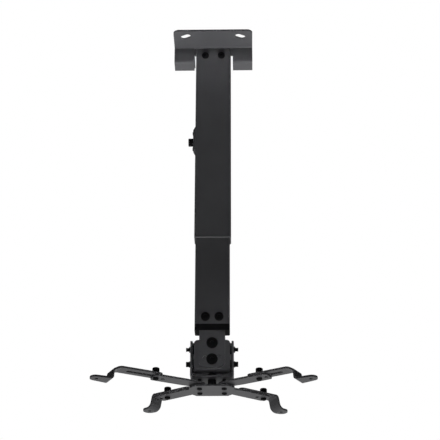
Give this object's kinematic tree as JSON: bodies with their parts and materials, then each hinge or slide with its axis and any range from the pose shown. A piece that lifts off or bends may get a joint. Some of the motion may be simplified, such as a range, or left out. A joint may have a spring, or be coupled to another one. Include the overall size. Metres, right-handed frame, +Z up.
{
  "type": "projector ceiling mount",
  "caption": "Black telescopic ceiling mount for a projector: slotted bracket, square-cornered tube, rolling, tilting and swivelling head, and adjustable hook arms.",
  "frame": {"origin": "middle of the face that lies against the ceiling, on the axis of the tube", "axes": "+Z up into the ceiling along the tube, -Y to the front, +X to the right seen from the front"},
  "size_m": [0.2858, 0.1535, 0.5308],
  "materials": {
    "powder_coat": "satin black powder coat",
    "black_hardware": "black zinc plated steel",
    "cap_plastic": "moulded black plastic"
  },
  "bodies": {
    "ceiling_mount": {"ceiling_bracket": "powder_coat", "outer_tube": "powder_coat", "top_bolts": "black_hardware", "top_nuts": "black_hardware", "lock_plate": "powder_coat", "lock_rivets": "black_hardware"},
    "side_lock": {"lock_screw": "black_hardware"},
    "slider": {"inner_tube": "powder_coat", "neck_bracket": "powder_coat", "neck_bolts": "black_hardware", "neck_nuts": "black_hardware", "end_cap": "cap_plastic"},
    "roll_head": {"roll_yoke": "powder_coat", "roll_pivot_bolts": "black_hardware", "roll_lock_bolts": "black_hardware", "tilt_pivot_bolts": "black_hardware", "tilt_lock_bolts": "black_hardware", "tilt_spacers": "black_hardware"},
    "tilt_head": {"tilt_yoke": "powder_coat"},
    "spider": {"spider_plate": "powder_coat", "swivel_stud": "black_hardware", "swivel_washer": "black_hardware", "swivel_nut": "black_hardware", "leg_spacers": "black_hardware", "leg_pivot_bolts": "black_hardware", "leg_pivot_nuts": "black_hardware"},
    "leg_near_left": {"leg_near_left": "powder_coat", "clamp_bolt_near_left": "black_hardware"},
    "arm_near_left": {"arm_near_left": "powder_coat"},
    "knob_near_left": {"clamp_knob_near_left": "black_hardware"},
    "leg_near_right": {"leg_near_right": "powder_coat", "clamp_bolt_near_right": "black_hardware"},
    "arm_near_right": {"arm_near_right": "powder_coat"},
    "knob_near_right": {"clamp_knob_near_right": "black_hardware"},
    "leg_far_left": {"leg_far_left": "powder_coat", "clamp_bolt_far_left": "black_hardware"},
    "arm_far_left": {"arm_far_left": "powder_coat"},
    "knob_far_left": {"clamp_knob_far_left": "black_hardware"},
    "leg_far_right": {"leg_far_right": "powder_coat", "clamp_bolt_far_right": "black_hardware"},
    "arm_far_right": {"arm_far_right": "powder_coat"},
    "knob_far_right": {"clamp_knob_far_right": "black_hardware"}
  },
  "joints": [
    {"name": "side_lock_turn", "type": "hinge", "parent": "ceiling_mount", "child": "side_lock", "pos_m": [-0.025, 0, -0.1525], "axis": [1, 0, 0], "continuous": true},
    {"name": "telescope", "type": "slide", "parent": "ceiling_mount", "child": "slider", "axis": [0, 0, 1], "range_m": [-0.008, 0.105]},
    {"name": "roll", "type": "hinge", "parent": "slider", "child": "roll_head", "pos_m": [0, 0, -0.4585], "axis": [0, 1, 0], "range_deg": [-15, 15]},
    {"name": "tilt", "type": "hinge", "parent": "roll_head", "child": "tilt_head", "pos_m": [0, 0, -0.4645], "axis": [1, 0, 0], "range_deg": [-10, 10]},
    {"name": "swivel", "type": "hinge", "parent": "tilt_head", "child": "spider", "pos_m": [0, 0, -0.5191], "axis": [0, 0, 1], "continuous": true},
    {"name": "leg_near_left_swing", "type": "hinge", "parent": "spider", "child": "leg_near_left", "pos_m": [-0.016, -0.0093, -0.517], "axis": [0, 0, 1], "range_deg": [-20, 20]},
    {"name": "arm_near_left_slide", "type": "slide", "parent": "leg_near_left", "child": "arm_near_left", "axis": [-0.8878, -0.4602, 0], "range_m": [-0.0375, 0]},
    {"name": "knob_near_left_turn", "type": "hinge", "parent": "leg_near_left", "child": "knob_near_left", "pos_m": [-0.07104, -0.03783, -0.5144], "axis": [0, 0, 1], "continuous": true},
    {"name": "leg_near_right_swing", "type": "hinge", "parent": "spider", "child": "leg_near_right", "pos_m": [0.016, -0.0093, -0.517], "axis": [0, 0, 1], "range_deg": [-20, 20]},
    {"name": "arm_near_right_slide", "type": "slide", "parent": "leg_near_right", "child": "arm_near_right", "axis": [0.8712, -0.4909, 0], "range_m": [-0.027, 0.007]},
    {"name": "knob_near_right_turn", "type": "hinge", "parent": "leg_near_right", "child": "knob_near_right", "pos_m": [0.0613, -0.03483, -0.5144], "axis": [0, 0, 1], "continuous": true},
    {"name": "leg_far_left_swing", "type": "hinge", "parent": "spider", "child": "leg_far_left", "pos_m": [-0.016, 0.0093, -0.517], "axis": [0, 0, 1], "range_deg": [-20, 20]},
    {"name": "arm_far_left_slide", "type": "slide", "parent": "leg_far_left", "child": "arm_far_left", "axis": [-0.8425, 0.5388, 0], "range_m": [0, 0.034]},
    {"name": "knob_far_left_turn", "type": "hinge", "parent": "leg_far_left", "child": "knob_far_left", "pos_m": [-0.05981, 0.03732, -0.5144], "axis": [0, 0, 1], "continuous": true},
    {"name": "leg_far_right_swing", "type": "hinge", "parent": "spider", "child": "leg_far_right", "pos_m": [0.016, 0.0093, -0.517], "axis": [0, 0, 1], "range_deg": [-20, 20]},
    {"name": "arm_far_right_slide", "type": "slide", "parent": "leg_far_right", "child": "arm_far_right", "axis": [0.829, 0.5592, 0], "range_m": [-0.003, 0.035]},
    {"name": "knob_far_right_turn", "type": "hinge", "parent": "leg_far_right", "child": "knob_far_right", "pos_m": [0.0674, 0.04397, -0.5144], "axis": [0, 0, 1], "continuous": true}
  ]
}
